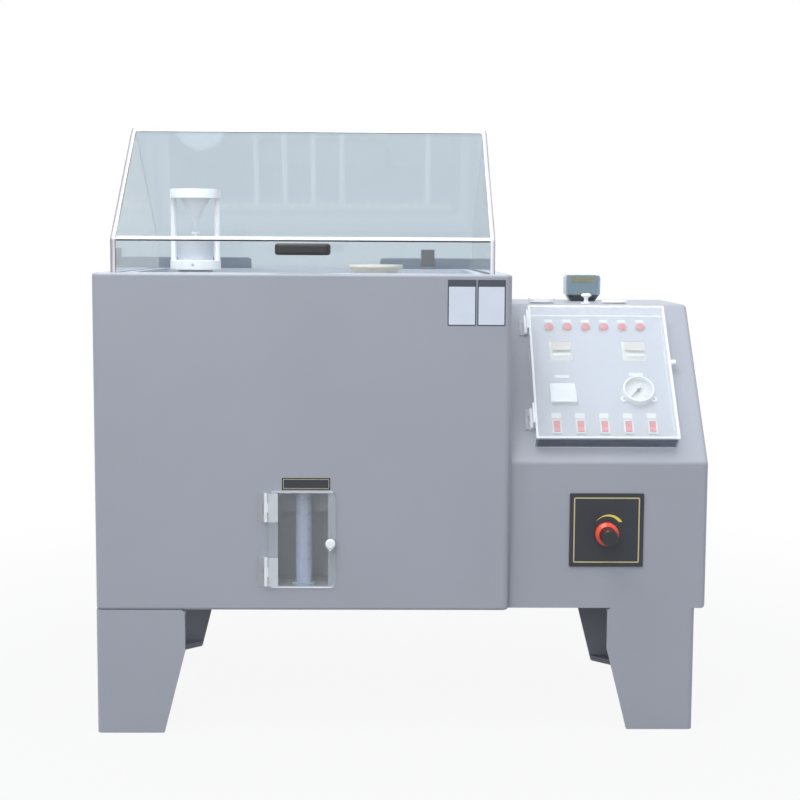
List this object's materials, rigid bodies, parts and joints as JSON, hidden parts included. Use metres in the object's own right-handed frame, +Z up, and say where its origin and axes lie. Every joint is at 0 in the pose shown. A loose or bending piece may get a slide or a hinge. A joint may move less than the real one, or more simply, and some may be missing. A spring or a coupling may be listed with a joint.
{
  "type": "salt spray test chamber",
  "caption": "Floor-standing salt spray test chamber: grey plastic cabinet with a clear gable lid on a water seal, a side control cabinet and splayed legs.",
  "frame": {"origin": "on the floor, under the centre of the machine's bounding box", "axes": "+Z up, +Y to the back, +X to the right as seen by the user in front of the machine"},
  "size_m": [1.07, 0.652, 1.0703],
  "materials": {
    "grey_sheet": "welded grey sheet, satin",
    "dark_sheet": "grey sheet, satin",
    "clear_acrylic": "polished clear acrylic",
    "clear_cylinder": "clear moulded plastic",
    "smoked_acrylic": "smoked acrylic",
    "white_plastic": "turned white plastic",
    "meter_plastic": "moulded",
    "black_plastic": "moulded black",
    "red_lens": "ribbed lens",
    "red_plastic": "moulded red",
    "orange_plastic": "moulded orange red",
    "steel": "stainless",
    "titanium": "titanium tube",
    "brass": "turned brass"
  },
  "bodies": {
    "cabinet": {"cabinet_shell": "grey_sheet", "cabinet_base": "grey_sheet", "inner_tank": "grey_sheet", "front_left_leg": "grey_sheet", "rear_left_leg": "grey_sheet", "front_right_leg": "grey_sheet", "rear_right_leg": "grey_sheet", "rear_service_panel": "grey_sheet", "rear_pipe_stubs": "grey_sheet", "tank_heater": "titanium", "rack_rails": "grey_sheet", "collector_pipe": "white_plastic", "drip_spout": "white_plastic", "measuring_cylinder": "clear_cylinder", "measuring_niche": "dark_sheet", "spray_pipe": "grey_sheet", "spray_nozzle": "white_plastic", "lid_hinge_carriers": "grey_sheet", "hinge_pins": "steel", "fixed_hinge_leaves": "clear_acrylic", "control_shell": "grey_sheet", "control_rear_cover": "grey_sheet", "cable_gland": "black_plastic", "air_inlet": "brass", "pilot_lamps": "red_lens", "panel_meters": "meter_plastic", "gauge_case": "white_plastic", "gauge_glass": "clear_acrylic", "switch_housings": "black_plastic", "regulator_plate": "black_plastic", "air_regulator": "black_plastic", "filler_hopper": "smoked_acrylic", "saturator_barrel": "steel", "port_necks": "white_plastic"},
    "lid": {"lid_shell": "clear_acrylic", "lid_handle": "black_plastic", "lid_hinge_lugs": "grey_sheet"},
    "window_door": {"window_door": "clear_acrylic", "window_door_leaves": "clear_acrylic", "window_knob": "white_plastic"},
    "control_cover": {"control_cover": "clear_acrylic", "cover_leaves": "clear_acrylic", "cover_knob": "white_plastic"},
    "regulator_knob": {"regulator_knob": "black_plastic", "regulator_ring": "orange_plastic"},
    "gauge_needle": {"gauge_needle": "black_plastic"},
    "collecting_funnel": {"collecting_funnel": "white_plastic"},
    "specimen_rods": {"specimen_rods": "white_plastic"},
    "tower_head": {"tower_collar": "white_plastic", "tower_posts": "white_plastic", "tower_cap": "white_plastic"},
    "tower_set_screw": {"tower_set_screw": "steel"},
    "filler_plug": {"filler_plug": "white_plastic"},
    "left_port_cap": {"left_port_cap": "white_plastic"},
    "right_port_cap": {"right_port_cap": "white_plastic"},
    "rocker_1": {"rocker_1": "red_plastic"},
    "rocker_2": {"rocker_2": "red_plastic"},
    "rocker_3": {"rocker_3": "red_plastic"},
    "rocker_4": {"rocker_4": "red_plastic"},
    "rocker_5": {"rocker_5": "red_plastic"}
  },
  "joints": [
    {"name": "lid_hinge", "type": "hinge", "parent": "cabinet", "child": "lid", "pos_m": [-0.175, 0.29, 0.818], "axis": [-1, 0, 0], "range_deg": [0, 80]},
    {"name": "window_door_hinge", "type": "hinge", "parent": "cabinet", "child": "window_door", "pos_m": [-0.2381, -0.3043, 0.3455], "axis": [0, 0, -1], "range_deg": [0, 120]},
    {"name": "control_cover_hinge", "type": "hinge", "parent": "cabinet", "child": "control_cover", "pos_m": [0.228, -0.16648, 0.6178], "axis": [0, -0.648, -0.7617], "range_deg": [0, 92]},
    {"name": "regulator_knob_turn", "type": "hinge", "parent": "cabinet", "child": "regulator_knob", "pos_m": [0.3572, -0.298, 0.3535], "axis": [0, -1, 0], "range_deg": [-720, 720]},
    {"name": "gauge_needle_turn", "type": "hinge", "parent": "cabinet", "child": "gauge_needle", "pos_m": [0.424, -0.18517, 0.59429], "axis": [0, 0.7617, -0.648], "range_deg": [0, 270], "stiffness_Nm_per_rad": 0.0005},
    {"name": "rocker_1_tilt", "type": "hinge", "parent": "cabinet", "child": "rocker_1", "pos_m": [0.273, -0.23069, 0.53461], "axis": [-1, 0, 0], "range_deg": [0, 16]},
    {"name": "rocker_2_tilt", "type": "hinge", "parent": "cabinet", "child": "rocker_2", "pos_m": [0.3156, -0.23069, 0.53461], "axis": [-1, 0, 0], "range_deg": [0, 16]},
    {"name": "rocker_3_tilt", "type": "hinge", "parent": "cabinet", "child": "rocker_3", "pos_m": [0.3582, -0.23069, 0.53461], "axis": [-1, 0, 0], "range_deg": [0, 16]},
    {"name": "rocker_4_tilt", "type": "hinge", "parent": "cabinet", "child": "rocker_4", "pos_m": [0.4008, -0.23069, 0.53461], "axis": [-1, 0, 0], "range_deg": [0, 16]},
    {"name": "rocker_5_tilt", "type": "hinge", "parent": "cabinet", "child": "rocker_5", "pos_m": [0.4434, -0.23069, 0.53461], "axis": [-1, 0, 0], "range_deg": [0, 16]},
    {"name": "funnel_lift", "type": "slide", "parent": "cabinet", "child": "collecting_funnel", "axis": [0, 0, 1], "range_m": [0, 0.1]},
    {"name": "specimen_rods_lift", "type": "slide", "parent": "cabinet", "child": "specimen_rods", "axis": [0, 0, 1], "range_m": [0, 0.03]},
    {"name": "tower_head_slide", "type": "slide", "parent": "cabinet", "child": "tower_head", "axis": [0, 0, 1], "range_m": [0, 0.04]},
    {"name": "set_screw_turn", "type": "hinge", "parent": "tower_head", "child": "tower_set_screw", "pos_m": [-0.3915, -0.0475, 0.816], "axis": [0, -1, 0], "range_deg": [0, 360]},
    {"name": "filler_plug_lift", "type": "slide", "parent": "cabinet", "child": "filler_plug", "axis": [0, 0, 1], "range_m": [0, 0.03]},
    {"name": "left_port_cap_lift", "type": "slide", "parent": "cabinet", "child": "left_port_cap", "axis": [0, 0, 1], "range_m": [0, 0.02]},
    {"name": "right_port_cap_lift", "type": "slide", "parent": "cabinet", "child": "right_port_cap", "axis": [0, 0, 1], "range_m": [0, 0.02]}
  ]
}
